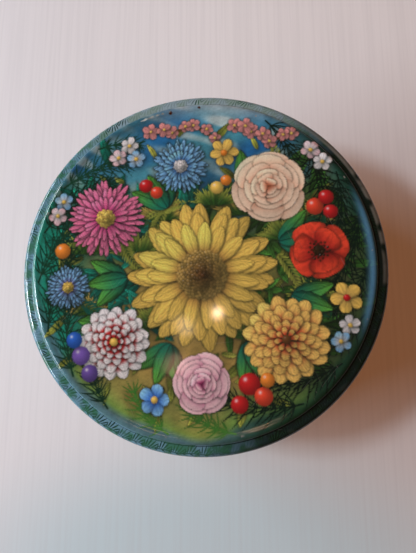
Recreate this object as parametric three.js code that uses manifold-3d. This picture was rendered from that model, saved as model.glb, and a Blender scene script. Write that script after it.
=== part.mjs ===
// A round biscuit tin of printed tinplate, closed: a pressed lid with a raised and edged panel,
// a rolled wall with a side seam, and a base hooked round the wall's foot.
// Millimetres, +Z up. The origin is the centre of the plane that the tin stands on.

import * as THREE from 'three';
import { mergeVertices } from 'three/addons/utils/BufferGeometryUtils.js';
import Module from 'manifold-3d';

const wasm = await Module();
wasm.setup();

// The whole tin
const LID_DIAMETER = 196;
const TIN_HEIGHT = 75;
const PLATE = 0.28;
const CLEARANCE = 0.3;
const SEGMENTS = 64;

// The lid's top, from its outer edge inwards
const SHOULDER_RADIUS = 3;
const LEDGE_WIDTH = 2.7;
const LEDGE_FALL = 0.3;
const STEP_WIDTH = 0.9;
const STEP_HEIGHT = 2.05;
const STEP_FOOT_RADIUS = 0.35;
const STEP_EDGE_RADIUS = 2.9;
const BEAD_CREST_WIDTH = 2.6;
const BEAD_SLOPE_WIDTH = 1.4;
const PANEL_SINK = 0.4;

// The lid's side
const LID_HEIGHT = 18;
const LID_ROLL_DIAMETER = 1.4;

// The wall
const WALL_ROLL_DIAMETER = 1.6;
const SEAM_WIDTH = 4;
const SEAM_THICKNESS = 0.55;
const SEAM_END_GAP = 2;

// The base
const BASE_RECESS = 3;
const BASE_CORNER_RADIUS = 0.8;
const HOOK_THICKNESS = 0.6;
const HOOK_HEIGHT = 3.2;
const HOOK_ROUNDING = 0.25;
const BASE_BEAD_INSET = 17;
const BASE_BEAD_WIDTH = 4;
const BASE_BEAD_SLOPE = 1.1;
const BASE_BEAD_HEIGHT = 0.8;

// Radii and heights that follow from them
const lidRadius = LID_DIAMETER / 2;
const lidBottom = TIN_HEIGHT - LID_HEIGHT;
const ledgeOuter = lidRadius - SHOULDER_RADIUS;
const stepFoot = ledgeOuter - LEDGE_WIDTH;
const stepEdge = stepFoot - STEP_WIDTH;
const beadInner = stepEdge - BEAD_CREST_WIDTH;
const panelRadius = beadInner - BEAD_SLOPE_WIDTH;
const panelTop = TIN_HEIGHT - PANEL_SINK;
const ledgeTop = TIN_HEIGHT - STEP_HEIGHT;
const shoulderTop = ledgeTop - LEDGE_FALL;

// The step's slope carries the rounding of its edge and that of its foot, which meet at the most
const stepSlope = Math.atan2(STEP_HEIGHT, STEP_WIDTH);
const stepLength = Math.hypot(STEP_WIDTH, STEP_HEIGHT);
const stepEdgeRadius = Math.min(STEP_EDGE_RADIUS, stepLength / Math.tan(stepSlope / 2) - STEP_FOOT_RADIUS);

const wallOuter = lidRadius - LID_ROLL_DIAMETER - CLEARANCE;
const wallInner = wallOuter - PLATE;
const wallBottom = PLATE + CLEARANCE;

const hookInner = wallOuter + CLEARANCE;
const hookOuter = hookInner + HOOK_THICKNESS;
const recessOuter = wallInner - CLEARANCE;
const recessInner = recessOuter - PLATE;

const point = (radius, height) => new THREE.Vector2(radius, height);

// Points on an arc round a centre, both ends included; angles in degrees from the outward direction.
function arc(centre, radius, fromAngle, toAngle, steps) {
  return Array.from({ length: steps + 1 }, (_, i) => {
    const angle = THREE.MathUtils.degToRad(THREE.MathUtils.lerp(fromAngle, toAngle, i / steps));
    return point(centre.x + radius * Math.cos(angle), centre.y + radius * Math.sin(angle));
  });
}

// A line through corners, with each corner that has a radius rounded by an arc that touches its legs.
function roundedLine(corners) {
  return corners.flatMap(({ at, radius, steps }, i) => {
    if (!radius) {
      return [at];
    }
    const back = corners[i - 1].at.clone().sub(at).normalize();
    const ahead = corners[i + 1].at.clone().sub(at).normalize();
    const halfAngle = Math.acos(back.dot(ahead)) / 2;
    const middle = back.clone().add(ahead).normalize();
    const centre = at.clone().addScaledVector(middle, radius / Math.sin(halfAngle));
    const first = at.clone().addScaledVector(back, radius / Math.tan(halfAngle)).sub(centre);
    const last = at.clone().addScaledVector(ahead, radius / Math.tan(halfAngle)).sub(centre);
    const turn = Math.atan2(first.cross(last), first.dot(last));
    return Array.from({ length: steps + 1 }, (_, step) =>
      first.clone().rotateAround(new THREE.Vector2(), (turn * step) / steps).add(centre));
  });
}

// The same line moved sideways by the distance, to the right of its direction, with mitred corners.
function offsetLine(line, distance) {
  const sides = line.slice(1).map((end, i) => {
    const along = end.clone().sub(line[i]).normalize();
    return point(along.y, -along.x);
  });
  return line.map((at, i) => {
    const before = sides[Math.max(i - 1, 0)];
    const after = sides[Math.min(i, sides.length - 1)];
    const mitre = before.clone().add(after);
    return at.clone().addScaledVector(mitre, (2 * distance) / mitre.lengthSq());
  });
}

// A welded mesh geometry without the triangles that a revolve leaves flat on the axis.
function weld(geometry) {
  const bare = geometry.clone();
  bare.deleteAttribute('normal');
  bare.deleteAttribute('uv');
  const welded = mergeVertices(bare, 1e-5);
  const corners = Array.from(welded.index.array);
  const kept = [];
  for (let i = 0; i < corners.length; i += 3) {
    const [a, b, c] = corners.slice(i, i + 3);
    if (a !== b && b !== c && c !== a) {
      kept.push(a, b, c);
    }
  }
  welded.setIndex(kept);
  return welded;
}

// A solid of revolution about +Z from a profile that runs with the solid on its left.
function revolve(profile) {
  const geometry = new THREE.LatheGeometry(profile, SEGMENTS);
  geometry.rotateX(Math.PI / 2);
  return weld(geometry);
}

function toSolid(geometry) {
  const welded = weld(geometry);
  return new wasm.Manifold(new wasm.Mesh({
    numProp: 3,
    vertProperties: new Float32Array(welded.attributes.position.array),
    triVerts: new Uint32Array(welded.index.array),
  }));
}

function toGeometry(solid) {
  const mesh = solid.getMesh();
  const geometry = new THREE.BufferGeometry();
  geometry.setAttribute('position', new THREE.BufferAttribute(mesh.vertProperties, 3));
  geometry.setIndex(new THREE.BufferAttribute(mesh.triVerts, 1));
  return geometry;
}

function piece(name, geometry, colour, roughness, metalness) {
  const shown = geometry.toNonIndexed();
  shown.computeVertexNormals();
  const mesh = new THREE.Mesh(shown, new THREE.MeshStandardMaterial({ color: colour, roughness, metalness }));
  mesh.name = name;
  return mesh;
}

// The lid's outer surface: panel, bead, step, ledge and shoulder, then down to the skirt's roll
function lidOuterLine() {
  const rollHeight = lidBottom + LID_ROLL_DIAMETER / 2;
  return roundedLine([
    { at: point(0, panelTop) },
    { at: point(panelRadius, panelTop) },
    { at: point(beadInner, TIN_HEIGHT) },
    { at: point(stepEdge, TIN_HEIGHT), radius: stepEdgeRadius, steps: 5 },
    { at: point(stepFoot, ledgeTop), radius: STEP_FOOT_RADIUS, steps: 2 },
    { at: point(lidRadius, shoulderTop), radius: SHOULDER_RADIUS, steps: 4 },
    { at: point(lidRadius, rollHeight) },
  ]);
}

// The lid: one pressing of even thickness, with the skirt's edge rolled inwards
function lidProfile() {
  const outer = lidOuterLine();
  const inner = offsetLine(outer, PLATE);
  const rollRadius = LID_ROLL_DIAMETER / 2;
  const rollCentre = point(lidRadius - rollRadius, lidBottom + rollRadius);
  inner[inner.length - 1].y += rollRadius;
  return [...inner, ...arc(rollCentre, rollRadius, -225, -45, 4), ...outer.reverse()];
}

// The height of the lid's underside above a radius, which the wall's rim carries
function lidUnderside(radius) {
  const line = offsetLine(lidOuterLine(), PLATE);
  const next = line.findIndex((at) => at.x >= radius);
  const share = (radius - line[next - 1].x) / (line[next].x - line[next - 1].x);
  return THREE.MathUtils.lerp(line[next - 1].y, line[next].y, share);
}

// The wall: a plain ring with its top edge rolled inwards, and the side seam's fold inside at the back
function wallSolid() {
  const rollRadius = WALL_ROLL_DIAMETER / 2;
  const rim = lidUnderside(wallOuter - rollRadius) - CLEARANCE;
  const rollCentre = point(wallOuter - rollRadius, rim - rollRadius);
  const profile = [
    point(wallInner, wallBottom),
    point(wallOuter, wallBottom),
    ...arc(rollCentre, rollRadius, 0, 225, 5),
    point(wallInner, rollCentre.y - rollRadius),
    point(wallInner, wallBottom),
  ];

  const seamBottom = BASE_RECESS + PLATE + SEAM_END_GAP;
  const seamTop = rim - WALL_ROLL_DIAMETER - SEAM_END_GAP;
  const facetMiddle = Math.PI / SEGMENTS;
  const facetRadius = wallInner * Math.cos(facetMiddle);
  const depth = SEAM_THICKNESS + PLATE / 2;
  const seam = new THREE.BoxGeometry(SEAM_WIDTH, depth, seamTop - seamBottom);
  seam.translate(0, facetRadius + PLATE / 2 - depth / 2, (seamTop + seamBottom) / 2);
  seam.rotateZ(facetMiddle);
  return toGeometry(toSolid(revolve(profile)).add(toSolid(seam)));
}

// The base: a recessed panel with a stiffening bead, and the hook that holds the wall's foot
function baseProfile() {
  const ringOuter = recessInner - BASE_BEAD_INSET;
  const ringInner = ringOuter - BASE_BEAD_WIDTH;
  const under = roundedLine([
    { at: point(0, BASE_RECESS) },
    { at: point(ringInner, BASE_RECESS) },
    { at: point(ringInner + BASE_BEAD_SLOPE, BASE_RECESS + BASE_BEAD_HEIGHT) },
    { at: point(ringOuter - BASE_BEAD_SLOPE, BASE_RECESS + BASE_BEAD_HEIGHT) },
    { at: point(ringOuter, BASE_RECESS) },
    { at: point(recessInner, BASE_RECESS), radius: BASE_CORNER_RADIUS, steps: 2 },
    { at: point(recessInner, PLATE) },
  ]);
  const top = offsetLine(under, -PLATE);
  const hook = [
    point(recessInner, 0),
    point(hookOuter - HOOK_ROUNDING, 0),
    point(hookOuter, HOOK_ROUNDING),
    point(hookOuter, HOOK_HEIGHT - HOOK_ROUNDING),
    point(hookOuter - HOOK_ROUNDING, HOOK_HEIGHT),
    point(hookInner, HOOK_HEIGHT - HOOK_ROUNDING),
    point(hookInner, PLATE),
  ];
  return [...under.slice(0, -1), ...hook, ...top.reverse()];
}

const tin = new THREE.Group();
tin.add(piece('base', revolve(baseProfile()), 0xb8babd, 0.35, 0.9));
tin.add(piece('body_wall', wallSolid(), 0x6f94a0, 0.3, 0.2));
tin.add(piece('lid', revolve(lidProfile()), 0x3f6b58, 0.25, 0.2));

export default tin;
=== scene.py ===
"""A round biscuit tin of printed tinplate with its lid on, seen from above on a pale board.

The tin is three pieces: a pressed and printed lid, a rolled and printed wall, and a bare tin base.
"""

import bpy
import numpy as np
from mathutils import Matrix, Vector


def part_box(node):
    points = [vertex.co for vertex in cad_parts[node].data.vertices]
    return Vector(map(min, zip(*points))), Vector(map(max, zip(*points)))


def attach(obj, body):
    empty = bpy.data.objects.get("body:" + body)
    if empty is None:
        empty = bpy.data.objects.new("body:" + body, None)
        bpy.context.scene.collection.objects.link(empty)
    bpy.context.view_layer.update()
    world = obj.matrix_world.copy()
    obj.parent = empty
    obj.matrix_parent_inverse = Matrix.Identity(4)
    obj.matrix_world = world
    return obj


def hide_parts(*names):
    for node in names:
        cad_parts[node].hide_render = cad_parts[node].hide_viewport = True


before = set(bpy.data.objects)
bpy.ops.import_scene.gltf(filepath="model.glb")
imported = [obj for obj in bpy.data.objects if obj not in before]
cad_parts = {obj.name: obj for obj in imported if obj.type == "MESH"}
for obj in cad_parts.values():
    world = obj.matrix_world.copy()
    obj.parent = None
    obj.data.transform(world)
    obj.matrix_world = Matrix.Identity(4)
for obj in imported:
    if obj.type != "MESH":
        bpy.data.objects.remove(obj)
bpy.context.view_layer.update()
mm = 0.001


# The photograph's view
# A camera held about 23 cm over the lid, a little nearer the viewer and to the right of its middle.
# The frame's upper edge is parallel to the tin's X axis.
frame_height_px = 553
focal_length_px = 450
film_height = 36
camera_place = Vector((22.2, -48.6, 306.4)) * mm
camera_aim = Vector((4.0, -6.6, 72.0)) * mm


def placed(name, data):
    """A new object in the scene that shows the data."""
    thing = bpy.data.objects.new(name, data)
    bpy.context.collection.objects.link(thing)
    return thing


camera_data = bpy.data.cameras.new("photo_view")
camera_data.sensor_fit = "VERTICAL"
camera_data.sensor_height = film_height
camera_data.lens = film_height * focal_length_px / frame_height_px
camera_data.clip_start = 10 * mm
camera = placed("photo_view", camera_data)
bpy.context.scene.camera = camera
bpy.context.scene.view_settings.view_transform = "Standard"

looking = (camera_aim - camera_place).normalized()
rightwards = looking.cross(Vector((0, 1, 0))).normalized()
upwards = rightwards.cross(looking)
turned = Matrix((rightwards, upwards, -looking)).transposed().to_4x4()
camera.matrix_world = Matrix.Translation(camera_place) @ turned


# Lid: shape
# One round pressing of thin plate: a flat panel a little sunk inside a low bead, a step down to a
# ledge, a rounded shoulder, and a skirt whose raw edge is rolled inwards. It lifts straight off.
plate = 0.28 * mm
lid_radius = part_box("lid")[1].x
lid_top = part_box("lid")[1].z
lid_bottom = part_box("lid")[0].z
shoulder_rounding = 3 * mm
ledge_outer = lid_radius - shoulder_rounding
step_foot = ledge_outer - 2.7 * mm
step_edge = step_foot - 0.9 * mm
bead_inner = step_edge - 2.6 * mm
panel_radius = bead_inner - 1.4 * mm
panel_top = lid_top - 0.4 * mm
ledge_top = lid_top - 2.05 * mm
shoulder_top = ledge_top - 0.1 * mm
lid_roll = 1.4 * mm
print_spacing = 0.61 * mm
plain_spacing = 5 * mm
rim_turns = 200
arc_step = np.radians(12)


def rounded(corners):
    """A line through corners of (radius, height, rounding). A corner with a rounding becomes an arc
    that touches both its legs: its centre lies rounding / sin(half the angle) along their middle."""
    points = [np.array(corner[:2]) for corner in corners]
    roundings = [corner[2] for corner in corners[1:]]
    line = [points[0]]
    for back, corner, ahead, rounding in zip(points, points[1:], points[2:], roundings):
        to_back = (back - corner) / np.linalg.norm(back - corner)
        to_ahead = (ahead - corner) / np.linalg.norm(ahead - corner)
        half_angle = np.arccos(np.clip(to_back @ to_ahead, -1, 1)) / 2
        middle = (to_back + to_ahead) / np.linalg.norm(to_back + to_ahead)
        centre = corner + middle * rounding / np.sin(half_angle)
        first = corner + to_back * rounding / np.tan(half_angle) - centre
        last = corner + to_ahead * rounding / np.tan(half_angle) - centre
        turn = np.arctan2(first[0] * last[1] - first[1] * last[0], first @ last)
        steps = np.linspace(0, turn, 1 + int(np.ceil(abs(turn) / arc_step)))
        line += [centre + first * np.cos(a) + np.array([-first[1], first[0]]) * np.sin(a) for a in steps]
    return np.array(line + [points[-1]])


def curl(centre, radius, start, end):
    """Points on an arc from one angle to another, in degrees from the outward direction."""
    angles = np.radians(np.linspace(start, end, 1 + int(abs(end - start) / 20)))
    return np.stack([centre[0] + radius * np.cos(angles), centre[1] + radius * np.sin(angles)], 1)


def beside(line, distance):
    """The line moved to the right of its direction with mitred corners: each point goes along the
    sum n of its two sides' normals by 2 * distance / |n|^2."""
    sides = np.diff(line, axis=0)
    normals = np.stack([sides[:, 1], -sides[:, 0]], 1) / np.linalg.norm(sides, axis=1)[:, None]
    mitre = np.vstack([normals[:1], normals]) + np.vstack([normals, normals[-1:]])
    return line + 2 * distance * mitre / (mitre ** 2).sum(1)[:, None]


def divided(line, spacing):
    """The line with points added evenly, so that none of its sides is longer than the spacing."""
    parts = []
    for start, end in zip(line, line[1:]):
        count = max(1, int(np.ceil(np.linalg.norm(end - start) / spacing)))
        parts.append(start + (end - start) * np.linspace(0, 1, count, endpoint=False)[:, None])
    return np.vstack(parts + [line[-1:]])


def turns(radii, spacing, most):
    """For each radius, evenly spread angles whose points stand about the spacing apart."""
    counts = np.clip(np.round(2 * np.pi * radii / spacing), 1, most).astype(int)
    return [np.arange(count) * 2 * np.pi / count for count in counts]


def revolved(profile, angles, closed=False):
    """A profile of (radius, height) points carried round +Z: point k stands at (r cos a, r sin a, z)
    for each a in angles[k]. Neighbouring rings of any two counts are joined by one triangle for each
    of their sides, taken in the order of the sides' middles. Returns points, triangles and each
    triangle's place along the profile."""
    counts = [len(a) for a in angles]
    first = np.cumsum([0] + counts)
    radius, height = np.repeat(profile, counts, axis=0).T
    turn = np.concatenate(angles)
    points = np.stack([radius * np.cos(turn), radius * np.sin(turn), height], 1)
    middles = [(a + np.append(a[1:], a[0] + 2 * np.pi)) / 2 if len(a) > 1 else a[:0] for a in angles]
    triangles = []
    places = []
    rings = len(profile)
    for k in range(rings if closed else rings - 1):
        after = (k + 1) % rings
        order = np.argsort(np.concatenate([middles[k], middles[after]]), kind="stable")
        on_low = order < len(middles[k])
        i = np.cumsum(on_low) - on_low
        j = np.cumsum(~on_low) - ~on_low
        low_now = first[k] + i % counts[k]
        high_now = first[after] + j % counts[after]
        low_next = first[k] + (i + 1) % counts[k]
        high_next = first[after] + (j + 1) % counts[after]
        triangles.append(np.stack([low_now, np.where(on_low, low_next, high_next), high_now], 1))
        places.append(np.full(len(order), k))
    return points, np.vstack(triangles), np.concatenate(places)


def new_piece(name, points, triangles, finishes, finish_of):
    """A smooth mesh of the triangles, each with the finish whose number it is given."""
    mesh = bpy.data.meshes.new(name)
    mesh.vertices.add(len(points))
    mesh.vertices.foreach_set("co", points.astype(np.float32).ravel())
    mesh.loops.add(triangles.size)
    mesh.loops.foreach_set("vertex_index", triangles.astype(np.int32).ravel())
    mesh.polygons.add(len(triangles))
    mesh.polygons.foreach_set("loop_start", np.arange(0, triangles.size, 3, dtype=np.int32))
    mesh.polygons.foreach_set("material_index", np.asarray(finish_of, dtype=np.int32))
    mesh.polygons.foreach_set("use_smooth", np.ones(len(triangles), dtype=bool))
    mesh.update(calc_edges=True)
    for finish in finishes:
        mesh.materials.append(finish)
    return placed(name, mesh)


def cloud(x, y, size, seed):
    """A soft random field from about -1 to 1: nine plane waves near the size, turned at random."""
    random = np.random.default_rng(seed)
    total = np.zeros_like(x)
    for _ in range(9):
        turn = random.uniform(0, 2 * np.pi)
        wave = 2 * np.pi / (size * random.uniform(0.7, 1.6))
        total += np.sin(wave * (x * np.cos(turn) + y * np.sin(turn)) + random.uniform(0, 2 * np.pi))
    return total / 4.5


lid_roll_height = lid_bottom + lid_roll / 2
lid_outline = rounded([
    (0, panel_top, 0),
    (panel_radius, panel_top, 4.5 * mm),
    (bead_inner, lid_top, 4.8 * mm),
    (step_edge, lid_top, 2.9 * mm),
    (step_foot, ledge_top, 0.35 * mm),
    (lid_radius, shoulder_top, shoulder_rounding),
    (lid_radius, lid_roll_height, 0),
])
lid_middle = beside(lid_outline, plate / 2)
lid_curl = curl((lid_radius - lid_roll / 2, lid_roll_height), (lid_roll - plate) / 2, 0, -270)
lid_middle = np.vstack([lid_middle[:-1], lid_curl])

lid_outside = beside(lid_middle, -plate / 2)
printed = lid_outside[:, 0] <= step_foot
printed_rows = divided(lid_outside[printed], print_spacing)
rim_rows = divided(lid_outside[~printed], plain_spacing)
inside_rows = divided(beside(lid_middle, plate / 2), plain_spacing)
lid_profile = np.vstack([inside_rows, rim_rows[::-1], printed_rows[::-1]])
lid_angles = turns(inside_rows[:, 0], 2 * mm, rim_turns)
lid_angles += turns(rim_rows[::-1, 0], 2 * mm, rim_turns)
lid_angles += turns(printed_rows[::-1, 0], print_spacing, 10 * rim_turns)
lid_points, lid_triangles, lid_places = revolved(lid_profile, lid_angles)

# The flat panel of a real pressing is never quite flat: it waves by a tenth of a millimetre.
panel_wave = 0.1 * mm
across = np.hypot(lid_points[:, 0], lid_points[:, 1]) / panel_radius
wave = cloud(lid_points[:, 0] / mm, lid_points[:, 1] / mm, 75, 6)
lid_points[:, 2] += panel_wave * wave * np.clip(1 - across ** 4, 0, 1)


# Lid: the picture printed on its panel
# A garden picture of flowers, fruit and leaves on a ground that goes from blue through green to
# ochre. Each petal, leaf and berry is laid over the last one as a colour on the panel's points,
# in millimetres from its middle and in display colours from 0 to 1.
soft_edge = 0.45


def tint(red, green, blue):
    return np.array([red, green, blue], float)


def eased(low, high, value):
    """0 below low, 1 above high, and between them the smooth cubic 3t^2 - 2t^3."""
    t = np.clip((value - low) / (high - low), 0, 1)
    return t * t * (3 - 2 * t)


def over(under, colour, cover):
    """A colour laid over another one: under + (colour - under) * cover."""
    return under + (colour - under) * cover[:, None]


shadow = tint(0.055, 0.055, 0.035)
deep_blue = tint(0.08, 0.33, 0.60)
teal = tint(0.22, 0.53, 0.62)
pale_blue = tint(0.72, 0.84, 0.82)
rim_blue = tint(0.38, 0.58, 0.68)
emerald = tint(0.06, 0.50, 0.37)
forest = tint(0.04, 0.18, 0.10)
night_olive = tint(0.15, 0.20, 0.10)
leaf_green = tint(0.24, 0.52, 0.13)
lime = tint(0.74, 0.78, 0.22)
olive = tint(0.46, 0.55, 0.21)
ochre = tint(0.78, 0.60, 0.24)
gold = tint(0.97, 0.77, 0.27)
umber = tint(0.33, 0.17, 0.07)
white = tint(0.97, 0.96, 0.94)
crimson = tint(0.74, 0.07, 0.07)
scarlet = tint(0.90, 0.19, 0.10)
orange = tint(0.94, 0.46, 0.11)
coral = tint(0.88, 0.50, 0.47)
pink = tint(0.94, 0.40, 0.56)
blush = tint(0.97, 0.76, 0.78)
magenta = tint(0.66, 0.09, 0.32)
blue = tint(0.11, 0.29, 0.72)
sky = tint(0.45, 0.72, 0.95)
violet = tint(0.40, 0.26, 0.64)


def depth_inside(along, aside, length, half_width, power, blunt):
    """How far a point lies inside a petal's outline, in millimetres, with along as a share of the
    length t: F / |gradient of F| for F = sin(pi * t^power) - (aside / half_width)^(1 / blunt), at
    most the petal's half width there, and less by the distance past the petal's ends."""
    t = np.clip(along, 0.001, 1.1)
    bulge = np.sin(np.pi * t ** power)
    share = np.abs(aside) / half_width
    slope_along = np.pi * power * t ** (power - 1) * np.cos(np.pi * t ** power) / length
    slope_aside = share ** (1 / blunt - 1) / (blunt * half_width)
    depth = (bulge - share ** (1 / blunt)) / (np.hypot(slope_along, slope_aside) + 1e-6)
    past_ends = (np.abs(along - 0.55) - 0.55).clip(0) * length
    return np.minimum(depth, half_width * bulge.clip(0) ** blunt) - past_ends


class Picture:
    """The panel's points, in millimetres, and the colour that lies on each so far."""

    def __init__(self, x, y, seed):
        self.x = x
        self.y = y
        self.colour = np.zeros((len(x), 3))
        self.bare = np.zeros(len(x))
        self.flutter = cloud(x, y, 3, 1)
        self.random = np.random.default_rng(seed)

    def near(self, x, y, reach):
        return np.flatnonzero((np.abs(self.x - x) < reach) & (np.abs(self.y - y) < reach))

    def lay(self, picked, cover, colour):
        self.colour[picked] = over(self.colour[picked], colour, cover)

    def shade(self, x, y, radius, depth):
        """A soft dark spot whose cover falls off as a bell curve of the distance."""
        picked = self.near(x, y, 2 * radius)
        away = np.hypot(self.x[picked] - x, self.y[picked] - y) / radius
        self.lay(picked, depth * np.exp(-1.6 * away ** 2), shadow)

    def blade(self, x, y, turn, length, width, root, tip, bend=0, widest=0.5, blunt=0.75,
              edge=0.25, rib=0, streak=0.08, lines=9, side=0.15, cast=0.4, change=(0, 1)):
        """A petal or leaf whose root is at x, y. Its half width is sin(pi * t^p)^blunt along its
        length t, with p set so that it is widest at that share. Its colour goes from root to tip
        over the shares of its length in change, darker at its edges and rib, streaked lengthwise,
        and lighter on the side in the light."""
        picked = self.near(x, y, 1.15 * length)
        east, north = self.x[picked] - x, self.y[picked] - y
        cosine, sine = np.cos(turn), np.sin(turn)
        along = (east * cosine + north * sine) / length
        sideways = north * cosine - east * sine - bend * length * along ** 2
        t = np.clip(along, 0, 1)
        flutter = self.flutter[picked]
        power = np.log(0.5) / np.log(widest)
        half_width = width / 2 * (1 + 0.05 * flutter)
        half = half_width * np.sin(np.pi * t ** power) ** blunt
        shifted = sideways + 0.35 * cosine + 0.2
        under = depth_inside(along, shifted, length, half_width, power, blunt)
        self.lay(picked, cast * eased(-1.1, 0.3, under), shadow)
        share = sideways / np.maximum(half, 0.05)
        light = 1 - edge * np.clip(np.abs(share), 0, 1) ** 4 - rib * np.exp(-(sideways / 0.35) ** 2)
        light += streak * np.sqrt(t) * np.sin(lines * share + 2 * flutter)
        light += side / 2 * share * np.sign(np.cos(turn - 2.2))
        colour = over(root, tip, eased(*change, t)) * light[:, None]
        inner = depth_inside(along, sideways, length, half_width, power, blunt)
        self.lay(picked, eased(-soft_edge / 2, soft_edge / 2, inner), np.clip(colour, 0, 1))

    def berry(self, x, y, radius, colour, glint=0.8):
        """A round berry or a grain: lit from the upper left, dark at its rim, with a small glint."""
        self.shade(x + 0.25 * radius, y - 0.3 * radius, 1.15 * radius, 0.75)
        picked = self.near(x, y, 1.5 * radius)
        east, north = (self.x[picked] - x) / radius, (self.y[picked] - y) / radius
        lit = np.exp(-((east + 0.35) ** 2 + (north - 0.38) ** 2) / 0.9)
        spark = glint * np.exp(-((east + 0.38) ** 2 + (north - 0.42) ** 2) / 0.03)
        ball = colour * (0.55 + 0.6 * lit)[:, None]
        ball = ball + (1 - ball) * spark[:, None]
        self.lay(picked, 1 - eased(1 - 0.25 / radius, 1 + 0.25 / radius, np.hypot(east, north)), ball)

    def petal_ring(self, x, y, count, start, length, width, root, tip, **look):
        """Petals spread evenly round x, y in a random order, brighter towards the upper left."""
        look = {"widest": 0.62, "blunt": 0.55, "edge": 0.38, "rib": 0.10, "side": 0.2, "cast": 0.5,
                "streak": 0.10, **look}
        phase = self.random.uniform(0, 2 * np.pi)
        for i in self.random.permutation(count):
            turn = phase + 2 * np.pi * i / count + self.random.normal(0, 0.04)
            tone = self.random.uniform(0.91, 1.06) * (1 + 0.11 * np.cos(turn - 2.2))
            self.blade(x + start * np.cos(turn), y + start * np.sin(turn), turn,
                       length * self.random.uniform(0.93, 1.06), width, root * tone,
                       np.clip(tip * tone, 0, 1), bend=self.random.normal(0, 0.05), **look)

    def rub(self, place, away, length, width, colour, bare):
        """A worn dash along the rim, centred at an angle in degrees and a distance from the middle:
        the print is gone from a thin ragged lens, down to the colour, and to tin by the share bare."""
        turn = np.arctan2(self.y, self.x) - np.radians(place)
        along = (turn + np.pi) % (2 * np.pi) - np.pi
        aside = np.hypot(self.x, self.y) - away
        share = 2 * away * along / length
        picked = np.flatnonzero((np.abs(share) < 1) & (np.abs(aside) < width))
        ragged = width / 2 * (1 - share[picked] ** 2) * (1 + 0.6 * self.flutter[picked])
        cover = eased(-0.25, 0.25, ragged - np.abs(aside[picked]))
        self.lay(picked, cover, colour)
        self.bare[picked] = np.maximum(self.bare[picked], cover * bare)

    def seeds(self, x, y, radius, count, size, inner, outer):
        """Grains set at the golden angle, the outermost first, as a flower's heart is packed."""
        golden_angle = np.pi * (3 - np.sqrt(5))
        for i in range(count):
            share = np.sqrt(1 - (i + 0.5) / count)
            colour = (inner + (outer - inner) * share) * self.random.uniform(0.65, 1.15)
            turn = i * golden_angle
            self.berry(x + radius * share * np.cos(turn), y + radius * share * np.sin(turn),
                       size, np.clip(colour, 0, 1), glint=0.25)


def ground(art):
    """Blue above, emerald at the left, dark green at the right and ochre below, worked over by
    clouds of brush strokes, with a blue margin that turns dark green towards the right, and a
    shadow along the edge at the upper left. A pale haze along the top edge is a painted
    reflection of the room."""
    x, y = art.x, art.y
    away = np.hypot(x, y).clip(1)
    drift = 13 * cloud(x, y, 42, 2)
    high = eased(20, 52, y + drift)
    left = eased(34, 66, -x + 0.35 * y + drift) * (1 - high)
    right = eased(22, 66, x - 0.1 * np.abs(y) + drift)
    streaks = eased(-0.05, 0.85, cloud(x + 0.4 * y, 3.2 * y - 0.01 * x ** 2, 34, 3))
    colour = over(ochre, olive, eased(-12, 16, away - 70 + drift))
    colour = over(colour, umber, 0.45 * eased(0.2, 1.1, cloud(x, y, 24, 8)))
    colour = over(colour, 0.75 * leaf_green, 0.85 * eased(-22, 28, y + drift))
    colour = over(colour, leaf_green, 0.45 * eased(76, 87, away + 0.2 * drift))
    colour = over(colour, emerald, left)
    sky_colour = over(deep_blue, teal, eased(-1.0, 0.6, cloud(x, 2 * y, 40, 9)))
    sky_colour = over(sky_colour, pale_blue, 0.85 * streaks)
    colour = over(colour, sky_colour, high)
    colour = over(colour, night_olive, 0.85 * right * (1 - 0.35 * high))
    margin = eased(83.5, 88.5, away + 0.2 * drift)
    dark_side = eased(0, 60, x - 0.15 * y)
    margin_colour = over(0.66 * rim_blue, 0.6 * forest, dark_side)
    margin_share = margin * (0.1 + 0.8 * eased(-0.2, 0.6, -y / away + 1.15 * dark_side))
    colour = over(colour, margin_colour, margin_share)
    upper_left = eased(0.7, 1.0, (0.77 * y - 0.64 * x) / away) * eased(77, 88, away + 0.2 * drift)
    colour = colour * (1 - 0.38 * upper_left)[:, None]
    # Painted reflection: a pale haze along the top edge of the panel.
    painted_reflection_haze = eased(64, 88, y - 0.45 * np.abs(x - 8) + 0.4 * drift)
    colour = over(colour, 0.5 * pale_blue + 0.4 * blush, 0.65 * painted_reflection_haze)
    brushed = 1 + 0.09 * cloud(x, y, 7, 4) + 0.06 * cloud(x, y, 2.2, 5)
    art.colour = np.clip(colour * brushed[:, None], 0, 1)


def foliage(art):
    """Three layers of leaves over the ground: long dark ones first, short light ones last. The sky
    keeps most of its blue, and the ochre ground below has the fewest."""
    random = art.random
    for count, length, width, light in [(130, 17, 6.5, 0.66), (230, 13, 4.4, 0.95), (300, 9, 2.8, 1.35)]:
        for _ in range(count):
            away = 78 * np.sqrt(random.uniform(0.03, 1))
            place = random.uniform(0, 2 * np.pi)
            x, y = away * np.cos(place), away * np.sin(place)
            turn = place + random.normal(0, 0.9)
            keep = random.uniform()
            open_sky = y > 42 and x < 45
            open_ground = y < -34 and x < 50
            if (open_sky and keep < 0.92) or (open_ground and keep < 0.8):
                continue
            green = emerald * 1.2 if x < 0 and y > -30 else leaf_green
            green = 0.8 * lime if open_ground or keep > 0.93 else green
            tone = light * random.uniform(0.75, 1.2) * (0.6 if x - 0.2 * y > 54 else 1)
            art.blade(x, y, turn, length * random.uniform(0.7, 1.3), width * random.uniform(0.8, 1.2),
                      green * tone * 0.55, np.clip(green * tone * 1.15, 0, 1), streak=0.14,
                      lines=14, bend=random.uniform(-0.25, 0.25), widest=0.42, rib=0.4,
                      edge=0.45, side=0.5)


needle_look = {"streak": 0, "edge": 0, "side": 0}


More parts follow.
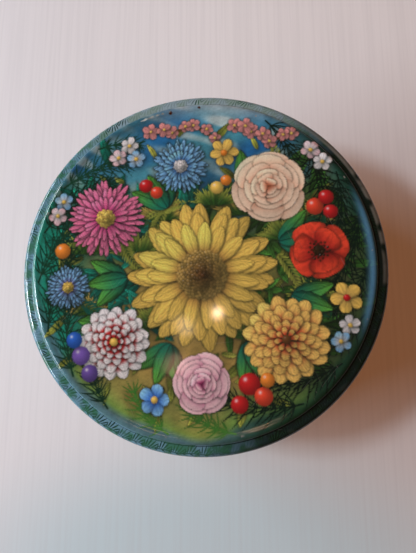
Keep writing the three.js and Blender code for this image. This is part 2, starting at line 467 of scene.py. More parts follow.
def frond(art, x, y, turn, length, leaflet, colour, bend):
    """A fern frond: leaflets in pairs along a stem that bends evenly, longest near its foot and
    short at its tip."""
    step = 1.9
    count = int(length / step)
    for i in range(count):
        turn += bend * step / length
        x, y = x + step * np.cos(turn), y + step * np.sin(turn)
        reach = leaflet * (0.15 + (1 - i / count) ** 0.7 * min(1, 0.35 + i / 4))
        tone = art.random.uniform(0.8, 1.3)
        for hand in (-1, 1):
            art.blade(x, y, turn + 0.85 * hand, reach, 1.15, 0.75 * colour,
                      np.clip(colour * tone, 0, 1), bend=-0.15 * hand, widest=0.45, cast=0.12,
                      **needle_look)


def fennel(art, x, y, turn, length, needle, colour, bend):
    """A stem that bends evenly, with a fan of fine needles at each of its joints."""
    step = 4.6
    count = int(length / step)
    for i in range(count):
        art.blade(x, y, turn, 1.2 * step, 0.95, colour, colour, blunt=0.2, cast=0, **needle_look)
        x, y = x + step * np.cos(turn), y + step * np.sin(turn)
        turn += bend * step / length
        reach = needle * (0.4 + 0.6 * np.sin(np.pi * (0.2 + 0.75 * i / count)))
        for lean in (-1.2, -0.8, -0.4, 0.4, 0.8, 1.2):
            art.blade(x, y, turn + lean + art.random.normal(0, 0.07),
                      reach * art.random.uniform(0.8, 1.15), 0.75, colour, 0.8 * colour,
                      bend=-0.15 * np.sign(lean), widest=0.4, cast=0.06, **needle_look)


def tuft(art, x, y, size, root, tip):
    """A tuft of grass: narrow blades that fan upwards from one place, light at their tips."""
    art.shade(x, y + 0.3 * size, 0.8 * size, 0.55)
    for lean in art.random.permutation(np.linspace(-1.15, 1.15, 30)):
        length = size * art.random.uniform(0.6, 1.0) * (1 - 0.25 * abs(lean))
        art.blade(x + 0.25 * size * lean, y, np.pi / 2 - lean, length, 0.10 * size, root, tip,
                  bend=-0.15 * lean, widest=0.45, streak=0, edge=0.3, side=0.3, cast=0.25,
                  change=(0.2, 0.9))


def blossom_twig(art, points, petals):
    """A twig through the points, with a small five-petalled blossom at each and one between."""
    points = np.array(points, float)
    for start, end in zip(points, points[1:]):
        step = end - start
        art.blade(*start, np.arctan2(step[1], step[0]), np.hypot(*step) * 1.05, 1.9,
                  umber, 1.3 * umber, blunt=0.3, cast=0.3)
    for centre in np.vstack([points, (points[1:] + points[:-1]) / 2 + 1.5]):
        size = art.random.uniform(3.4, 4.8)
        art.petal_ring(*centre, 5, 0, size, 0.8 * size, 0.85 * petals, petals, blunt=0.45,
                       edge=0.25)
        art.berry(*centre, 0.8, gold, glint=0.2)


def petal_rings(art, x, y, size, rings, root, tip, **look):
    """Rings of petals, each of (count, start, length, width, tone): three shares of the size and a
    factor on both colours."""
    for count, start, length, width, tone in rings:
        art.petal_ring(x, y, count, start * size, length * size, width * size, root * tone,
                       np.clip(tip * tone, 0, 1), **look)


def sunflower(art, x, y, size):
    """Three rings of long gold petals round a wide heart of brown and ochre grains."""
    art.shade(x + 2, y - 3, 1.2 * size, 0.75)
    rings = [(19, 0.28, 0.74, 0.27, 0.92), (17, 0.25, 0.66, 0.25, 1.0), (15, 0.22, 0.54, 0.20, 1.05)]
    petal_rings(art, x, y, size, rings, 1.9 * umber, gold, widest=0.55, streak=0.13, lines=15,
                rib=0.18, change=(-0.1, 0.6))
    art.shade(x, y, 0.4 * size, 0.8)
    art.seeds(x, y, 0.34 * size, 210, 0.032 * size, 0.7 * umber, 0.9 * ochre)


def dahlia(art, x, y, size, root, tip, heart, change=(0, 1)):
    """Five rings of cupped petals, each ring smaller than the last, closing on the heart."""
    art.shade(x + 1.5, y - 2, 1.2 * size, 0.7)
    for ring in range(5):
        share = 1 - ring / 5.4
        art.petal_ring(x, y, 16 - 2 * ring, 0.42 * size * share ** 1.2, 0.58 * size * share ** 0.8,
                       0.36 * size * share ** 0.75, root, tip * (1 - 0.03 * ring), streak=0.12,
                       lines=14, change=change)
    art.berry(x, y, 0.11 * size, heart, glint=0.2)


def aster(art, x, y, size, root, tip, heart):
    """Three rings of narrow pointed petals round a heart of fine grains."""
    art.shade(x + 1.5, y - 2, 1.15 * size, 0.7)
    rings = [(34, 0.12, 0.88, 0.13, 1.0), (30, 0.10, 0.74, 0.12, 1.05), (24, 0.08, 0.52, 0.11, 1.1)]
    petal_rings(art, x, y, size, rings, root, tip, widest=0.7, cast=0.65)
    art.seeds(x, y, 0.22 * size, 46, 0.04 * size + 0.25, heart, heart)


def rose(art, x, y, size, root, tip):
    """Six rings of broad rounded petals, each ring shorter, folded round the middle."""
    art.shade(x + 2, y - 2.5, 1.2 * size, 0.7)
    rings = [(6, 0.18, 0.84, 0.95, 1), (6, 0.10, 0.76, 0.85, 1), (5, 0.05, 0.62, 0.72, 1),
             (5, 0.02, 0.48, 0.58, 1), (4, 0, 0.35, 0.44, 1), (3, 0, 0.22, 0.30, 1)]
    petal_rings(art, x, y, size, rings, root, tip, widest=0.66, blunt=0.5, edge=0, rib=0,
                side=0.1, cast=0.5, streak=0.03)
    art.shade(x, y, 0.13 * size, 0.35)


def poppy(art, x, y, size, root, tip):
    """Seven broad petals in two rings, a black heart and a ring of stamens round it."""
    art.shade(x + 1.5, y - 2, 1.15 * size, 0.7)
    petal_rings(art, x, y, size, [(4, 0, 1, 1.25, 1), (3, 0, 0.86, 1, 1)], root, tip, widest=0.66,
                blunt=0.42, edge=0.35, side=0.1)
    art.berry(x, y, 0.2 * size, 0.4 * umber, glint=0.1)
    art.seeds(x, y, 0.38 * size, 30, 0.55, 0.4 * umber, 0.5 * umber)


def blossom(art, x, y, size, root, tip, heart, count=5):
    """One ring of round petals and a berry-like heart."""
    art.shade(x + 0.8, y - 1, 1.2 * size, 0.7)
    art.petal_ring(x, y, count, 0, size, 3.9 * size / count, root, tip, widest=0.64, blunt=0.45,
                   edge=0.3)
    art.berry(x, y, 0.22 * size, heart, glint=0.3)


def spot(place, away):
    """The point at an angle in degrees and a distance from the middle."""
    return away * np.cos(np.radians(place)), away * np.sin(np.radians(place))


on_picture = across < (step_foot + 0.3 * mm) / panel_radius
on_picture[:sum(len(a) for a in lid_angles[:len(inside_rows)])] = False
art = Picture(lid_points[on_picture, 0] / mm, lid_points[on_picture, 1] / mm, seed=11)
ground(art)
foliage(art)
for x, y, size, tip in [(24, 26, 19, gold), (-33, 4, 18, lime), (47, 12, 19, lime),
                        (58, -20, 15, lime), (-20, 24, 16, gold), (26, -38, 16, gold),
                        (-24, -34, 17, lime), (-62, 6, 16, lime), (58, 20, 14, gold),
                        (8, 32, 15, lime), (-60, -27, 13, gold)]:
    tuft(art, x, y, size, 0.55 * leaf_green, tip)
for place, length, needle, tone in [
        (222, 46, 12, 0.8), (204, 44, 13, 0.6), (186, 46, 13, 0.8), (168, 46, 14, 0.6),
        (150, 40, 12, 0.9), (131, 26, 8, 0.9), (66, 40, 12, 0.35), (50, 46, 14, 0.2),
        (34, 46, 14, 0.3), (18, 42, 12, 0.3), (0, 36, 11, 0.3), (-18, 36, 11, 0.3),
        (-36, 42, 13, 0.25), (-54, 42, 13, 0.35), (-78, 28, 9, 0.8), (-100, 28, 9, 0.9),
        (-122, 34, 11, 0.6)]:
    green = leaf_green if -120 < place < -60 else forest
    fennel(art, *spot(place, 88), np.radians(place) - 1.95, length, needle, tone * green, bend=-0.7)
for place, away, lean, length, leaflet, colour, bend in [
        (160, 66, 3.9, 30, 8, 0.8 * emerald, 0.6), (196, 68, 2.4, 30, 8, 0.7 * emerald, -0.6),
        (24, 74, 3.6, 34, 9, 1.4 * forest, 0.7), (-24, 74, 2.7, 30, 8, 1.2 * forest, -0.6),
        (20, 52, 5.6, 24, 7, lime, 0.5), (8, 40, 5.4, 22, 6, 0.9 * lime, -0.5),
        (160, 46, 2.2, 22, 6, 0.9 * lime, 0.5), (48, 62, 0.6, 20, 6, 0.8 * lime, 0.4),
        (100, 34, 1.4, 24, 6, lime, 0.6), (120, 38, 2.4, 20, 6, 0.8 * lime, -0.5)]:
    frond(art, *spot(place, away), np.radians(place) + lean, length, leaflet, colour, bend)

# A soft blue band lies over the leaves along the right edge, on the bead's inner slope: partly the
# print's blue, partly a painted reflection.
away = np.hypot(art.x, art.y)
blue_print_and_reflection = 0.8 * eased(84.5, 89.5, away) * eased(91.2, 90.4, away) * eased(78, 87, art.x)
art.lay(np.flatnonzero(blue_print_and_reflection > 0.01), blue_print_and_reflection[blue_print_and_reflection > 0.01], tint(0.24, 0.42, 0.58))
blossom_twig(art, [(50, 72), (38, 68), (28, 74), (19, 78)], coral)
blossom_twig(art, [(-28, 76), (-16, 75), (-4, 79), (8, 71)], coral)
for place, away in [(15, 60), (340, 70), (250, 62), (215, 72), (190, 55), (150, 70), (120, 50), (60, 66),
                    (300, 66)]:
    for lean in (-0.5, 0.5, 0):
        art.blade(*spot(place, 0.72 * away), np.radians(place) + lean, 22, 9.5,
                  0.8 * emerald, 1.25 * leaf_green, bend=0.2 * lean, widest=0.42, rib=0.5,
                  edge=0.5, side=0.7, cast=0.7, streak=0.16, lines=16)
for x, y, tip in [(-40, 68, white), (-46, 61, blush), (-36, 60, sky), (60, 62, blush), (66, 55, white),
                  (-76, 36, sky), (-79, 28, blush), (76, -33, white), (71, -41, sky)]:
    blossom(art, x, y, 5.2, 0.8 * white, tip, gold)
sunflower(art, 1, -6, 38)
dahlia(art, 44, -40, 22, 0.8 * scarlet, tint(0.96, 0.74, 0.30), umber, change=(0.1, 0.8))
aster(art, -52, 26, 21, magenta, pink, gold)
rose(art, 37, 42, 20, tint(0.86, 0.36, 0.20), tint(0.99, 0.86, 0.70))
dahlia(art, -45, -41, 19, 0.9 * crimson, white, gold, change=(0.42, 0.72))
aster(art, -11, 55, 15, 0.7 * blue, sky, white)
poppy(art, 62, 6, 15, 0.7 * crimson, scarlet)
rose(art, 1, -62, 15, magenta, blush)
aster(art, -71, -12, 12, 0.7 * violet, 0.9 * sky, gold)
blossom(art, 13, 62, 8, ochre, gold, orange, count=6)
blossom(art, -23, -70, 8, blue, sky, gold)
blossom(art, 75, -19, 8, ochre, gold, crimson)
for x, y, size, colour in [(25, -62, 5.5, crimson), (32, -68, 4.6, scarlet), (20, -72, 4.4, crimson),
                           (34, -60, 3.6, orange), (-62, -48, 4.8, violet), (-66, -40, 4.2, blue),
                           (-57, -57, 4.4, 0.8 * violet), (61, 30, 4.6, scarlet), (67, 35, 4.0, crimson),
                           (69, 27, 3.8, crimson), (-75, 8, 4.2, orange), (-30, 44, 3.8, crimson),
                           (-24, 40, 3.4, scarlet), (9, 42, 3.6, gold), (14, 46, 3.0, orange)]:
    art.berry(x, y, size, colour)

# The inks cover neither full white nor full black, and greens and blues print a little light.
art.colour = 0.03 + 0.87 * art.colour ** tint(0.82, 0.76, 0.74)

# Years of stacking have rubbed the raised edge: a long broken scuff, two rust spots, small chips. The
# scuff's pale dashes are wear and also a painted glint of the lamps on the bead.
rust = tint(0.24, 0.11, 0.06)
for place, length, light in [(111.0, 4.6, 0.85), (107.9, 2.6, 0.66), (105.7, 2.4, 0.62),
                             (103.9, 1.6, 0.5)]:
    art.rub(place, 89.1, length, 0.9, light * tint(0.96, 1, 0.96), 0.1)
art.rub(101, 88.5, 2.2, 1.6, rust, 0)
art.rub(90.5, 89.4, 1.8, 1.4, rust, 0)
random = art.random
for _ in range(14):
    art.rub(random.uniform(-180, 180), random.normal(89.4, 0.3), random.uniform(0.6, 2.2),
            random.uniform(0.35, 0.6), tint(0.46, 0.46, 0.43), random.uniform(0.1, 0.5))


# Lid: finishes
# Outside, the plate is printed and then varnished to a gloss. The varnish has a faint orange peel
# and fine scratches, and the print has worn through to tin along the bead in a few places.
# Inside, the tin is bare and bright.
tin_colour = (0.62, 0.62, 0.60, 1)
tin_inside_colour = (0.70, 0.68, 0.62, 1)
scratch_colour = (0.45, 0.46, 0.45, 1)
gold_colour = (0.50, 0.33, 0.09, 1)
rim_ground = (0.135, 0.285, 0.375, 1)
rim_ground_soft = (0.045, 0.165, 0.115, 1)
rim_pale = (0.340, 0.420, 0.430, 1)
rim_night = (0.004, 0.008, 0.004, 1)
# A grey for the shoulder's streaks on the dark side: partly print, partly a painted reflection.
rim_print_and_reflection_grey = (0.150, 0.155, 0.135, 1)
garland_dark = (0.004, 0.030, 0.018, 1)
garland_light = (0.030, 0.120, 0.060, 1)
varnish_roughness = 0.075


class Number:
    """A value that varies over a surface. Python's operators on it add their Math nodes."""

    def __init__(self, finish, socket):
        self.finish = finish
        self.socket = socket

    def math(self, operation, *others):
        inputs = dict(enumerate((self,) + others))
        return self.finish.node("Math", {"operation": operation}, inputs)

    def __add__(self, other):
        return self.math("ADD", other)

    def __mul__(self, other):
        return self.math("MULTIPLY", other)

    def __sub__(self, other):
        return self.math("SUBTRACT", other)

    def __rsub__(self, other):
        return self.math("MULTIPLY", -1) + other

    def __truediv__(self, other):
        return self.math("DIVIDE", other)

    def __pow__(self, other):
        return self.math("POWER", other)

    def __abs__(self):
        return self.math("ABSOLUTE")

    def eased(self, low, high):
        """0 at low and 1 at high, with a smooth step between; low may be the larger."""
        return self.finish.node("MapRange", {"interpolation_type": "SMOOTHSTEP"},
                                {"Value": self, "From Min": low, "From Max": high})


class Finish:
    """One material and the nodes that make it."""

    def __init__(self, name):
        self.material = bpy.data.materials.new(name)
        self.material.use_nodes = True
        self.tree = self.material.node_tree
        self.tree.nodes.clear()
        self.place = self.node("TexCoord", output="Object")

    def node(self, kind, settings=None, inputs=None, output=0):
        """A shader node of the kind, its settings first, then the values or links of its sockets."""
        made = self.tree.nodes.new("ShaderNode" + kind)
        for name, value in (settings or {}).items():
            setattr(made, name, value)
        for name, value in (inputs or {}).items():
            if isinstance(value, Number):
                self.tree.links.new(value.socket, made.inputs[name])
            else:
                made.inputs[name].default_value = value
        return Number(self, made.outputs[output]) if made.outputs else made

    def millimetres(self):
        """The place on the piece along X, Y and Z, in millimetres."""
        return [self.node("SeparateXYZ", inputs={0: self.place}, output=axis) / mm for axis in "XYZ"]

    def noise(self, size, detail=2.0, stretch=(1, 1, 1), turn=0):
        """Noise from 0 to 1 with features of about the size, made longer along each axis by stretch
        after the axes are turned round Z by the degrees."""
        scale = [size * longer for longer in stretch]
        moved = self.node("Mapping", {"vector_type": "TEXTURE"},
                          {"Vector": self.place, "Rotation": (0, 0, np.radians(turn)), "Scale": scale})
        return self.node("TexNoise", inputs={"Vector": moved, "Scale": 1.0, "Detail": detail})

    def mixed(self, share, first, second):
        """The first colour at 0 and the second at 1."""
        return self.node("Mix", {"data_type": "RGBA"}, {0: share, 6: first, 7: second}, output=2)

    def bump(self, height_mm):
        return self.node("Bump", inputs={"Height": height_mm, "Distance": mm, "Strength": 1.0})

    def finished(self, inputs):
        """The surface from the shader's values and links."""
        surface = self.node("BsdfPrincipled", inputs=inputs)
        self.node("OutputMaterial", inputs={"Surface": surface})
        return self.material


def lens(east, north, lean, length, width):
    """How far a slender leaf covers the surface. Its root is at 0, 0, and across its length t its
    half width is width / 2 * (1 - (2t - 1)^2)."""
    lean = np.radians(lean)
    along = (east * np.cos(lean) + north * np.sin(lean)) / length
    aside = abs(north * np.cos(lean) - east * np.sin(lean))
    return ((1 - (along * 2 - 1) ** 2) * (width / 2) - aside).eased(-0.1, 0.16)


def garland(finish, around, across, count, radius, middle, size):
    """How far a leaf garland covers the surface, from 0 to 1. It repeats count times round the
    radius: on a thin waving stem six blades of grass lean forwards on one side and two small ones
    on the other, as long as the size. A blade that crosses the end of a repeat is drawn again in
    the next."""
    repeat = 2 * np.pi * radius / count
    sway = finish.noise(0.012 * size, 1.0) * (0.35 * size) - 0.17 * size
    north = across - middle - (around * (np.pi / repeat)).math("SINE") * (0.06 * size) + sway
    local = around - (around / repeat).math("FLOOR") * repeat
    covered = abs(north).eased(0.40, 0.12)
    for root, lean, length, width in [(0.04, 98, 0.55, 0.12), (0.14, 84, 0.85, 0.14),
                                      (0.26, 70, 1.05, 0.15), (0.40, 55, 1.00, 0.15),
                                      (0.56, 41, 0.85, 0.14), (0.74, 28, 0.60, 0.13),
                                      (0.30, -42, 0.50, 0.17), (0.78, -34, 0.42, 0.15)]:
        reach = length * size * np.cos(np.radians(lean))
        start, end = sorted((root * repeat, root * repeat + reach))
        for shift in (-repeat, 0, repeat):
            if start + shift < repeat and end + shift > 0:
                east = local - (root * repeat + shift)
                leaf = lens(east, north, lean, length * size, width * size)
                covered = covered.math("MAXIMUM", leaf)
    return covered


def with_garlands(finish, colour, around, across, radius, bands, tone_size, strength):
    """The colour with a garland printed over it for each band of (count, middle, size)."""
    tone = finish.noise(tone_size, 2.0).eased(0.35, 0.7)
    leaf_colour = finish.mixed(tone, garland_dark, garland_light)
    for count, middle, size in bands:
        covered = garland(finish, around, across, count, radius, middle, size)
        colour = finish.mixed(covered * strength, colour, leaf_colour)
    return colour


def varnished(finish, colour, bare, bare_colour=tin_colour):
    """Gloss varnish over the printed colour, and bare tin where the share called bare is 1."""
    peel = finish.noise(1.1 * mm, 1.0)
    slow = finish.noise(9 * mm, 2.0)
    hairlines = 0
    for stretch, turn, least in [(60, 24, 0.74), (45, 96, 0.75), (70, -41, 0.75)]:
        scratched = finish.noise(0.4 * mm, 1.0, (1, stretch, 1), turn).eased(least, least + 0.04)
        hairlines = scratched.math("MAXIMUM", hairlines)
    print_colour = finish.mixed(hairlines * 0.10, colour, scratch_colour)
    return finish.finished({
        "Base Color": finish.mixed(bare, print_colour, bare_colour),
        "Metallic": bare,
        "Roughness": slow * 0.05 + (varnish_roughness - 0.025) + hairlines * 0.15 + bare * 0.2,
        "IOR": 1.5,
        "Normal": finish.bump(peel * 0.0022 - hairlines * 0.001),
    })


def rim_colours(finish, x, y, z, cloud_size, hard):
    """The rim's blue, clouded by green in patches of a size, with edges that are soft at 0 and hard
    at 1. It is paler at the back. Towards the right it turns nearly black on top of the rim, and
    darker on the tin's side: partly the print's dark green, partly painted shade on the side away
    from the lights. The second value returned is how far it has turned."""
    clouded = finish.noise(cloud_size, 3.0).eased(0.28 + 0.12 * hard, 0.82 - 0.20 * hard)
    colour = finish.mixed(clouded, rim_ground, rim_ground_soft)
    colour = finish.mixed(y.eased(58, 95) * 0.6, colour, rim_pale)
    # Painted shade over the print's dark green: the rim darkens on the side away from the lights, less
    # so down the tin's side.
    dark_print_and_shade = (x * 0.95 - y * 0.26 + finish.noise(9 * mm, 2.0) * 16 - 8).eased(12, 60)
    dark_print_and_shade = dark_print_and_shade * (z.eased(58, 70) * 0.57 + 0.4)
    return finish.mixed(dark_print_and_shade, colour, rim_night), dark_print_and_shade


def printed_lid():
    """The lid's outside: the picture on the panel, and a garland on blue over the rim and skirt."""
    finish = Finish("printed_lid")
    x, y, z = finish.millimetres()
    radius = (x * x + y * y).math("SQRT")
    turn = y.math("ARCTAN2", x)
    down = radius - (z - ledge_top / mm).math("MINIMUM", 0) - step_edge / mm
    around = turn * (ledge_outer / mm)
    colour, dark_print_and_shade = rim_colours(finish, x, y, z, 6 * mm, 1)
    # Grey-brown streaks on the shoulder at the dark right side: partly print, partly a painted
    # reflection of the board.
    blotches = (finish.noise(10 * mm, 1.0) + y * 0.0025).eased(0.40, 0.55)
    print_and_reflection_streaks = blotches * down.eased(2.6, 3.8) * down.eased(7.0, 5.6)
    colour = finish.mixed(dark_print_and_shade * print_and_reflection_streaks * (y.eased(-50, 40) * 0.9 + 0.1), colour, rim_print_and_reflection_grey)
    faded = (finish.noise(11 * mm, 1.0) - y * 0.0015).eased(0.36, 0.56) * 0.65 + 0.3
    # The garland fades into the painted shade and dark print on the right.
    colour = with_garlands(finish, colour, around, down * -1, ledge_outer / mm,
                           [(84, -5.0, 5.4), (56, -20.6, 10.5)], 6 * mm, faded * (1 - dark_print_and_shade * 0.9))
    picture_node = {"attribute_name": "picture"}
    picture_colour = finish.node("Attribute", picture_node, output="Color")
    worn = finish.node("Attribute", picture_node, output="Alpha")
    outside_picture = radius.eased(step_edge / mm - 0.2, step_edge / mm + 0.4)
    colour = finish.mixed(outside_picture, picture_colour, colour)
    # Painted shade: a dark line in the corner at the step's foot, darker still on the shaded right side.
    crevice_shade = abs(radius - step_foot / mm).eased(0.45, 0.05)
    colour = finish.mixed(crevice_shade * (dark_print_and_shade * 0.4 + 0.4), colour, rim_night)
    grain = finish.noise(0.8 * mm, 3.0)
    colour = finish.mixed(grain.eased(0.45, 0.8) * 0.18, colour, (0.02, 0.03, 0.02, 1))
    return varnished(finish, colour, worn)


def bright_tin(name, colour, roughness, stretch):
    """Bare tinplate with the fine straight lines of its rolling and a few soft scuffs."""
    finish = Finish(name)
    lines = finish.noise(0.35 * mm, 2.0, stretch)
    cloudy = finish.noise(14 * mm, 3.0)
    scuffs = finish.noise(2.5 * mm, 5.0).eased(0.62, 0.72)
    shade = finish.mixed(cloudy.eased(0.3, 0.8), colour, tuple(0.82 * c for c in colour[:3]) + (1,))
    return finish.finished({
        "Base Color": finish.mixed(scuffs * 0.35, shade, (0.36, 0.36, 0.35, 1)),
        "Metallic": 1.0,
        "Roughness": cloudy * 0.12 + lines * 0.08 + (roughness - 0.1) + scuffs * 0.12,
        "Normal": finish.bump(lines * 0.003),
    })


lid_tin = bright_tin("tin_inside", tin_inside_colour, 0.30, (40, 1, 1))
edge_row = len(inside_rows) - 4
lid = new_piece("printed_lid", lid_points, lid_triangles, [printed_lid(), lid_tin],
                (lid_places < edge_row).astype(int))
shown = art.colour
linear = np.where(shown <= 0.04045, shown / 12.92, ((shown + 0.055) / 1.055) ** 2.4)
rgba = np.zeros((len(lid_points), 4), np.float32)
rgba[on_picture, :3] = linear
rgba[on_picture, 3] = art.bare
painted = lid.data.color_attributes.new("picture", "FLOAT_COLOR", "POINT")
painted.data.foreach_set("color", rgba.ravel())
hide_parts("lid")
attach(lid, "root")


# Wall
# A strip of printed plate rolled into a ring. Its ends hook into each other in a flat side seam at
# the back, where a strip is left unprinted, and its top edge is rolled inwards to carry the lid.
wall_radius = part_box("body_wall")[1].x
wall_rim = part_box("body_wall")[1].z
wall_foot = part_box("body_wall")[0].z
wall_roll = 1.6 * mm
wall_row_spacing = 3 * mm
cad_facets = 64
seam_turn = np.pi / 2 + np.pi / cad_facets
seam_half_width = 2 * mm
seam_thickness = 0.55 * mm
seam_bottom = 5.3 * mm
seam_top = 68.5 * mm
unprinted_half_width = 2.7 * mm

wall_roll_centre = (wall_radius - wall_roll / 2, wall_rim - wall_roll / 2)
wall_middle = np.vstack([
    [[wall_radius - plate / 2, wall_foot]],
    curl(wall_roll_centre, (wall_roll - plate) / 2, 0, 270),
])
wall_rows_outside = divided(beside(wall_middle, plate / 2), wall_row_spacing)
wall_rows_inside = divided(beside(wall_middle, -plate / 2), wall_row_spacing)
beside_seam = np.array([1.5, 1.8, 2, 2.2, 2.5, 3.5, 5]) * mm
seam_places = np.concatenate([-beside_seam[::-1], [0], beside_seam])
wall_sides = 240
even_turns = np.arange(wall_sides) * 2 * np.pi / wall_sides
clear_of_seam = np.abs(even_turns - seam_turn) > (beside_seam[-1] + 0.6 * mm) / wall_radius
wall_turns = np.sort(np.append(even_turns[clear_of_seam], seam_turn + seam_places / wall_radius))
wall_profile = np.vstack([wall_rows_outside, wall_rows_inside[::-1]])
wall_angles = [wall_turns] * len(wall_profile)
wall_points, wall_triangles, wall_places = revolved(wall_profile, wall_angles, closed=True)

# The seam stands inwards by its thickness, and outside only the edge of its fold shows, as a groove.
turn = np.arctan2(wall_points[:, 1], wall_points[:, 0])
from_seam = (turn - seam_turn) * wall_radius
height = wall_points[:, 2]
inside = np.arange(len(wall_points)) >= len(wall_rows_outside) * len(wall_turns)
seam_ends = eased(seam_bottom - mm, seam_bottom, height) * eased(seam_top + mm, seam_top, height)
fold = eased(seam_half_width + 0.15 * mm, seam_half_width - 0.15 * mm, np.abs(from_seam))
groove = np.exp(-((from_seam - seam_half_width) / (0.25 * mm)) ** 2)
inwards = np.where(inside, seam_thickness * fold, 0.12 * mm * groove) * seam_ends
wall_points[:, :2] *= (1 - inwards / np.hypot(wall_points[:, 0], wall_points[:, 1]))[:, None]


def printed_wall():
    """The wall's outside: the rim's colours, darker towards the foot, with a large leaf garland
    round the middle and two gold lines, and bare tin along the seam."""
    finish = Finish("printed_wall")
    x, y, z = finish.millimetres()
    turn = y.math("ARCTAN2", x)
    around = turn * (wall_radius / mm)
    colour = rim_colours(finish, x, y, z, 14 * mm, 0)[0]
    colour = finish.mixed(z.eased(50, 2) * 0.5, colour, rim_night)
    colour = with_garlands(finish, colour, around, z, wall_radius / mm, [(40, 25, 16), (60, 6.5, 8)],
                           9 * mm, 0.92)
    for line_height in (46.5, 17.5):
        gilt = abs(z - line_height).eased(0.55, 0.35)
        colour = finish.mixed(gilt * 0.85, colour, gold_colour)
    from_seam = (turn - seam_turn) * (wall_radius / mm)
    bare = abs(from_seam).eased(unprinted_half_width / mm + 0.15, unprinted_half_width / mm - 0.15)
    rolled = finish.noise(0.5 * mm, 3.0, (1, 1, 60)).eased(0.3, 0.7)
    seam_colour = finish.mixed(rolled, (0.40, 0.39, 0.37, 1), (0.26, 0.25, 0.23, 1))
    fold_line = abs(from_seam - seam_half_width / mm).eased(0.42, 0.15)
    seam_colour = finish.mixed(fold_line, seam_colour, (0.05, 0.045, 0.04, 1))
    return varnished(finish, colour, bare, seam_colour)


wall_tin = bright_tin("tin_inside_wall", tin_inside_colour, 0.30, (1, 1, 40))
first_inside_row = len(wall_rows_outside) - 4
wall = new_piece("printed_wall", wall_points, wall_triangles, [printed_wall(), wall_tin],
                 (wall_places > first_inside_row).astype(int))
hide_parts("body_wall")
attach(wall, "root")


# Base
# One pressing of bare tinplate: a panel recessed above the foot and stiffened by a ring bead, and
# round it the plate turned under the wall's foot, up outside it, and in on itself as a hook.
base_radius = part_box("base")[1].x
base_recess = 3 * mm
base_corner = 0.8 * mm
hook_height = 3.2 * mm
hook_fold = 0.16 * mm
recess_radius = wall_radius - 2 * plate - 0.3 * mm
ring_outer = recess_radius - 17 * mm
ring_inner = ring_outer - 4 * mm
ring_slope = 1.1 * mm
ring_height = 0.8 * mm

chuck = recess_radius + plate / 2
leg = base_radius - plate / 2
foot_rounding = (leg - chuck) / 2
panel_middle = base_recess + plate / 2
base_middle = np.vstack([
    rounded([
        (0, panel_middle, 0),
        (ring_inner, panel_middle, 0.7 * mm),
        (ring_inner + ring_slope, panel_middle + ring_height, 0.7 * mm),
        (ring_outer - ring_slope, panel_middle + ring_height, 0.7 * mm),
        (ring_outer, panel_middle, 0.7 * mm),
        (chuck, panel_middle, base_corner),
        (chuck, foot_rounding + plate / 2, 0),
    ])[:-1],
    curl((chuck + foot_rounding, foot_rounding + plate / 2), foot_rounding, -180, 0),
    curl((leg - hook_fold, hook_height - plate / 2 - hook_fold), hook_fold, 0, 180),
    [[leg - 2 * hook_fold, 1.2 * mm]],
])
base_under = divided(beside(base_middle, plate / 2), plain_spacing)
base_over = divided(beside(base_middle, -plate / 2), plain_spacing)
base_profile = np.vstack([base_under, base_over[::-1]])
base_angles = turns(base_profile[:, 0], 3 * mm, 180)
base_points, base_triangles, _ = revolved(base_profile, base_angles)
base_tin = bright_tin("base_tin", (0.66, 0.66, 0.65, 1), 0.32, (40, 1, 1))
base = new_piece("tin_base", base_points, base_triangles, [base_tin], np.zeros(len(base_triangles)))
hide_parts("base")
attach(base, "root")


# Floor and light
# A pale board with a fine grain, brighter at the far right with a painted pool of light, and darker
# and cooler in front of the tin with a painted shadow. A cool soft light on the left, halfway up,
# throws the tin's shadow to the right, and a long low window beside it draws the bright lines on
# the rim. The shadow is lit by a warm ceiling, and three small warm lamps are mirrored in the panel.
floor_half_width = 2.0
floor_mesh = bpy.data.meshes.new("pale_floor")
floor_corners = [(east * floor_half_width, north * floor_half_width, 0)
                 for east, north in [(-1, -1), (1, -1), (1, 1), (-1, 1)]]
floor_mesh.from_pydata(floor_corners, [], [(0, 1, 2, 3)])
floor = placed("pale_floor", floor_mesh)
floor_finish = Finish("pale_floor")
floor_x, floor_y, _ = floor_finish.millimetres()
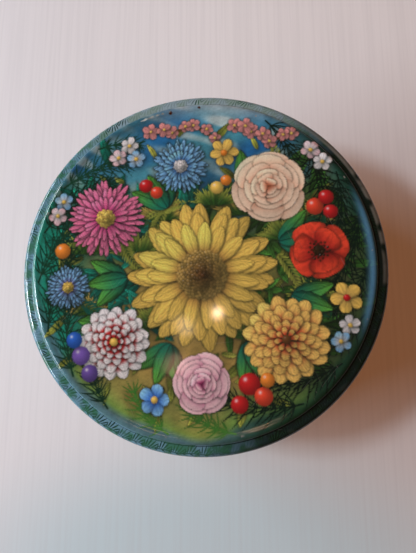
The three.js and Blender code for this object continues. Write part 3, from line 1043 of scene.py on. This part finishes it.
# Painted light and shade on the board: brighter towards the far right, and a cool painted shadow in
# front of the tin.
painted_light_far_right = floor_y.eased(60, 210) * floor_x.eased(-170, 30)
board = floor_finish.mixed(painted_light_far_right, (0.72, 0.715, 0.72, 1), (0.80, 0.795, 0.79, 1))
from_painted_shadow = ((floor_x / 200) ** 2 + ((floor_y + 190) / 100) ** 2) ** 0.5
board = floor_finish.mixed(from_painted_shadow.eased(1.1, 0.4), board, (0.52, 0.645, 0.68, 1))
board_grain = floor_finish.noise(2.2 * mm, 3.0, (1, 60, 1)).eased(0.35, 0.75)
board = floor_finish.mixed(board_grain * 0.14, board, (0.45, 0.45, 0.46, 1))
floor_mesh.materials.append(floor_finish.finished({"Base Color": board, "Roughness": 0.6}))


def new_light(kind, name, place, power, colour):
    """A light of the kind at the place, its power in watts."""
    data = bpy.data.lights.new(name, kind)
    data.energy = power
    data.color = colour
    light = placed(name, data)
    light.location = place
    return light


def area_light(name, towards, distance, width, height, power, colour, mirrored=True):
    """A rectangular light in a direction from the tin, facing it, its width level."""
    towards = Vector(towards)
    light = new_light("AREA", name, towards.normalized() * distance, power, colour)
    light.data.shape = "RECTANGLE"
    light.data.size = width
    light.data.size_y = height
    light.rotation_euler = towards.to_track_quat("Z", "Y").to_euler()
    light.visible_glossy = mirrored


cool = (0.80, 0.90, 1.0)
area_light("side_light", (-0.67, 0.04, 0.74), 2.0, 0.34, 0.22, 15.2, cool)
area_light("long_window", (-0.895, 0.09, 0.42), 1.8, 2.0, 0.35, 37, cool)
area_light("ceiling", (0.06, 0.04, 1.0), 1.8, 0.7, 0.7, 7.5, (1.0, 0.37, 0.14), mirrored=False)


def lamp_over(panel_x, panel_y, height, radius, power, colour):
    """A small round lamp placed so that the camera sees it mirrored at that point of the panel."""
    seen = Vector((panel_x, panel_y, panel_top))
    ray = (seen - camera_place).normalized()
    ray.z = -ray.z
    lamp = new_light("POINT", "lamp", seen + ray * (height / ray.z), power, colour)
    lamp.data.shadow_soft_size = radius


lamp_over(8.9 * mm, -25.1 * mm, 1.1, 0.008, 0.50, (1.0, 0.62, 0.36))
lamp_over(-9.2 * mm, -32.7 * mm, 1.3, 0.030, 0.25, (1.0, 0.72, 0.50))
lamp_over(-14.1 * mm, -52.4 * mm, 1.3, 0.035, 0.25, (1.0, 0.46, 0.30))

world = bpy.data.worlds.new("warm_room")
world.use_nodes = True
room = world.node_tree.nodes["Background"].inputs
room["Color"].default_value = (1.0, 0.52, 0.32, 1)
room["Strength"].default_value = 0.05
bpy.context.scene.world = world
